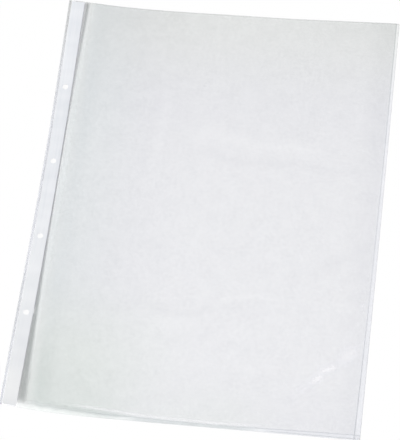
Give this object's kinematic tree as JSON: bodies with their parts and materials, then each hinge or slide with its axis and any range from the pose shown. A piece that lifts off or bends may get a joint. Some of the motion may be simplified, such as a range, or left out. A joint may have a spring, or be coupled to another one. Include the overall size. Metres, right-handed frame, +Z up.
{
  "type": "sheet protector",
  "caption": "Open-topped clear film pocket for a loose sheet, with a white punched binding strip along one long edge that folds, and a front ply that lifts at the mouth.",
  "frame": {"origin": "middle of the object's box, on the table under it", "axes": "+Z up out of the page, +Y along the page towards the open mouth, +X from the binding to the side seam"},
  "size_m": [0.3288, 0.427, 0.0142],
  "materials": {
    "film": "clear polypropylene film, finely embossed",
    "weld": "heat-sealed film, smoother and a little whiter than the rest",
    "strip": "white polypropylene strip, satin"
  },
  "bodies": {
    "pocket": {"back_panel": "film", "bottom_weld": "weld", "side_weld": "weld", "spine_weld": "weld"},
    "front": {"front_panel": "film"},
    "binding": {"margin_film": "film", "binding_strip": "strip", "outer_weld": "weld"}
  },
  "joints": [
    {"name": "binding_fold", "type": "hinge", "parent": "pocket", "child": "binding", "pos_m": [-0.14833, 0, 0.00988], "axis": [0, 1, 0], "range_deg": [-90, 70], "stiffness_Nm_per_rad": 0.003},
    {"name": "mouth_opening", "type": "hinge", "parent": "pocket", "child": "front", "pos_m": [0, -0.20778, 0.00045], "axis": [1, 0, 0], "range_deg": [0, 4]}
  ]
}
